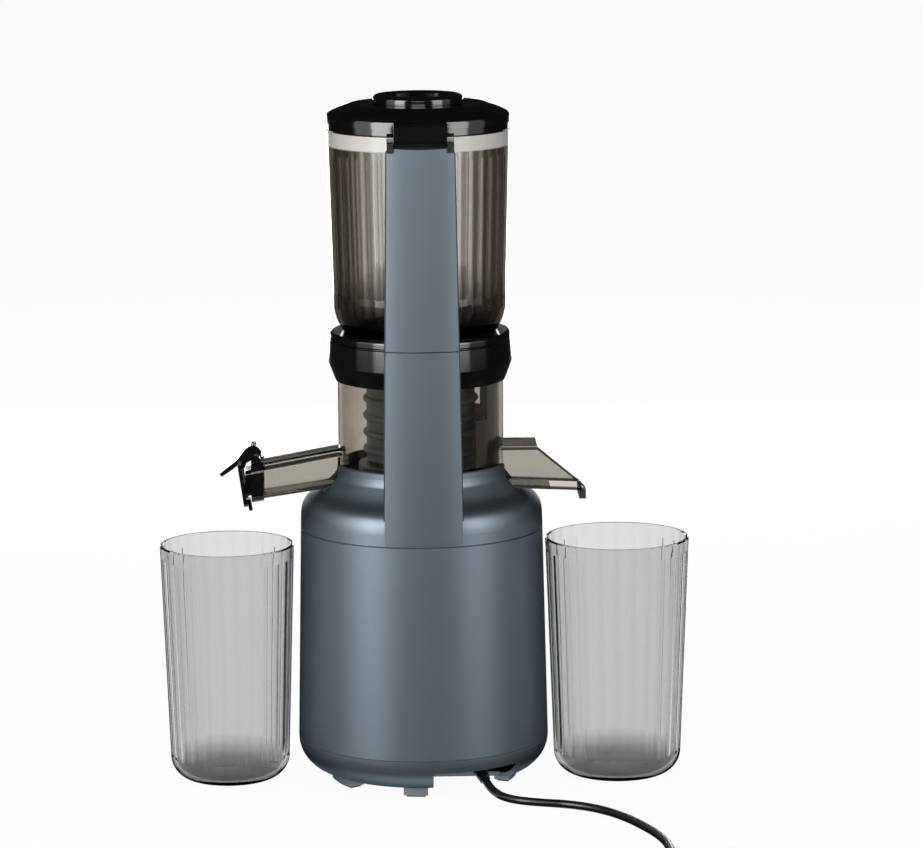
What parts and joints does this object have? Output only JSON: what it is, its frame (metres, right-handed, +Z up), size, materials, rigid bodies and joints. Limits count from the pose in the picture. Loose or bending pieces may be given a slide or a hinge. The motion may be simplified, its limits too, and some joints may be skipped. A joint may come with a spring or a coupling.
{
  "type": "cold press juicer",
  "caption": "Upright masticating juicer with an auger and strainer in a smoky bowl under a flip-lid hopper, a geared motor base, a capped juice spout, a pulp chute and two cups.",
  "frame": {"origin": "centre of the underside of the juicer with its cups, on the worktop", "axes": "+Z up; +Y towards the column, the lid hinge and the cord; +X towards the juice spout and its cup; the control knob faces -Y"},
  "size_m": [0.3997, 0.4048, 0.4623],
  "materials": {
    "housing": "satin blue-grey",
    "pads": "matt",
    "liner": "satin",
    "smoke_clear": "smoky clear plastic",
    "cup_clear": "smoky clear plastic",
    "black_gloss": "high gloss",
    "seal": "matt",
    "dark_frame": "satin",
    "mesh_steel": "perforated",
    "gear_nylon": "satin",
    "gear_steel": "machined",
    "gearbox_alloy": "cast",
    "bronze": "machined",
    "motor_steel": "plated",
    "copper": "enamelled wire",
    "dark_plastic": "satin",
    "board": "satin",
    "cord_black": "matt"
  },
  "bodies": {
    "base": {"bottom_cover": "housing", "foot_pads": "pads", "housing_wall": "housing", "upper_shell": "housing", "lower_column_liner": "liner", "ring_gear_housing": "gearbox_alloy", "gearbox_cover": "gearbox_alloy", "output_bearing": "bronze", "mount_dampers": "seal", "drive_seal": "seal", "motor_can": "motor_steel", "stator": "motor_steel", "stator_windings": "copper", "motor_bearings": "motor_steel", "selector_switch": "dark_plastic", "control_board": "board", "interlock_switch": "dark_plastic", "base_screws": "gear_steel", "cord_gland": "cord_black", "power_cord": "cord_black", "cord_coil": "cord_black", "mains_plug": "cord_black"},
    "rotor": {"rotor_core": "motor_steel", "motor_shaft": "gear_steel", "cooling_fan": "dark_plastic"},
    "carrier_1": {"stage_1_carrier": "gear_steel"},
    "drive": {"drive_shaft": "gear_steel"},
    "knob": {"control_knob": "dark_plastic"},
    "chamber": {"bowl": "smoke_clear", "bowl_collar": "black_gloss", "bowl_shaft_seal": "seal", "juice_spout": "smoke_clear", "spout_mouth_ring": "black_gloss", "pulp_chute": "smoke_clear", "chute_lip": "seal", "pulp_shield": "dark_frame", "strainer_frame": "dark_frame", "strainer_mesh": "mesh_steel"},
    "auger_set": {"auger": "dark_frame", "feeder_blade": "dark_frame"},
    "pinion": {"brush_pinion": "gear_nylon"},
    "wiper": {"wiper_frame": "dark_frame", "wiper_blades": "seal"},
    "flap": {"spout_flap": "black_gloss"},
    "hopper": {"hopper_drum": "smoke_clear", "hopper_flange": "black_gloss", "upper_column": "housing", "upper_column_liner": "liner", "hinge_pin": "gear_steel"},
    "lid": {"lid_dome": "black_gloss", "lid_ring": "seal", "lid_cap": "black_gloss"},
    "juice_container": {"juice_cup": "cup_clear"},
    "pulp_container": {"pulp_cup": "cup_clear"},
    "stage_1_planet_a_body": {"stage_1_planet_a": "gear_nylon"},
    "stage_1_planet_b_body": {"stage_1_planet_b": "gear_nylon"},
    "stage_1_planet_c_body": {"stage_1_planet_c": "gear_nylon"},
    "stage_2_planet_a_body": {"stage_2_planet_a": "gear_nylon"},
    "stage_2_planet_b_body": {"stage_2_planet_b": "gear_nylon"},
    "stage_2_planet_c_body": {"stage_2_planet_c": "gear_nylon"}
  },
  "joints": [
    {"name": "rotor_spin", "type": "hinge", "parent": "base", "child": "rotor", "pos_m": [0, 0, 0.08], "axis": [0, 0, 1], "continuous": true},
    {"name": "carrier_1_spin", "type": "hinge", "parent": "base", "child": "carrier_1", "pos_m": [0, 0, 0.153], "axis": [0, 0, 1], "continuous": true},
    {"name": "drive_spin", "type": "hinge", "parent": "base", "child": "drive", "pos_m": [0, 0, 0.185], "axis": [0, 0, 1], "continuous": true},
    {"name": "stage_1_planet_a_spin", "type": "hinge", "parent": "carrier_1", "child": "stage_1_planet_a_body", "pos_m": [0.01875, 0, 0.144], "axis": [0, 0, 1], "continuous": true},
    {"name": "stage_1_planet_b_spin", "type": "hinge", "parent": "carrier_1", "child": "stage_1_planet_b_body", "pos_m": [-0.00937, 0.01624, 0.144], "axis": [0, 0, 1], "continuous": true},
    {"name": "stage_1_planet_c_spin", "type": "hinge", "parent": "carrier_1", "child": "stage_1_planet_c_body", "pos_m": [-0.00937, -0.01624, 0.144], "axis": [0, 0, 1], "continuous": true},
    {"name": "stage_2_planet_a_spin", "type": "hinge", "parent": "drive", "child": "stage_2_planet_a_body", "pos_m": [0.01875, 0, 0.162], "axis": [0, 0, 1], "continuous": true},
    {"name": "stage_2_planet_b_spin", "type": "hinge", "parent": "drive", "child": "stage_2_planet_b_body", "pos_m": [-0.00937, 0.01624, 0.162], "axis": [0, 0, 1], "continuous": true},
    {"name": "stage_2_planet_c_spin", "type": "hinge", "parent": "drive", "child": "stage_2_planet_c_body", "pos_m": [-0.00937, -0.01624, 0.162], "axis": [0, 0, 1], "continuous": true},
    {"name": "chamber_lift", "type": "slide", "parent": "base", "child": "chamber", "axis": [0, 0, 1], "range_m": [0, 0.06]},
    {"name": "auger_spin", "type": "hinge", "parent": "chamber", "child": "auger_set", "pos_m": [0, 0, 0.25], "axis": [0, 0, 1], "continuous": true},
    {"name": "pinion_spin", "type": "hinge", "parent": "chamber", "child": "pinion", "pos_m": [0.01275, 0.02208, 0.212], "axis": [0, 0, 1], "continuous": true},
    {"name": "wiper_spin", "type": "hinge", "parent": "chamber", "child": "wiper", "pos_m": [0, 0, 0.24], "axis": [0, 0, 1], "continuous": true},
    {"name": "flap_hinge", "type": "hinge", "parent": "chamber", "child": "flap", "pos_m": [0.1105, 0, 0.2195], "axis": [0, -1, 0], "range_deg": [0, 70]},
    {"name": "hopper_lift", "type": "slide", "parent": "chamber", "child": "hopper", "axis": [0, 0, 1], "range_m": [0, 0.04]},
    {"name": "lid_hinge", "type": "hinge", "parent": "hopper", "child": "lid", "pos_m": [0, 0.0783, 0.4394], "axis": [-1, 0, 0], "range_deg": [0, 100]},
    {"name": "knob_turn", "type": "hinge", "parent": "base", "child": "knob", "pos_m": [0, -0.083, 0.105], "axis": [0, -1, 0], "range_deg": [-45, 45]},
    {"name": "juice_cup_away", "type": "slide", "parent": "base", "child": "juice_container", "axis": [1, 0, 0], "range_m": [0, 0.1]},
    {"name": "pulp_cup_away", "type": "slide", "parent": "base", "child": "pulp_container", "axis": [-1, 0, 0], "range_m": [0, 0.1]}
  ],
  "couplings": [
    {"joint": "carrier_1_spin", "follows": "rotor_spin", "ratio": 0.2},
    {"joint": "drive_spin", "follows": "rotor_spin", "ratio": 0.04},
    {"joint": "auger_spin", "follows": "rotor_spin", "ratio": 0.04},
    {"joint": "pinion_spin", "follows": "rotor_spin", "ratio": -0.057143},
    {"joint": "wiper_spin", "follows": "rotor_spin", "ratio": -0.016667},
    {"joint": "stage_1_planet_a_spin", "follows": "rotor_spin", "ratio": -0.53333},
    {"joint": "stage_2_planet_a_spin", "follows": "rotor_spin", "ratio": -0.10667},
    {"joint": "stage_1_planet_b_spin", "follows": "rotor_spin", "ratio": -0.53333},
    {"joint": "stage_2_planet_b_spin", "follows": "rotor_spin", "ratio": -0.10667},
    {"joint": "stage_1_planet_c_spin", "follows": "rotor_spin", "ratio": -0.53333},
    {"joint": "stage_2_planet_c_spin", "follows": "rotor_spin", "ratio": -0.10667}
  ]
}
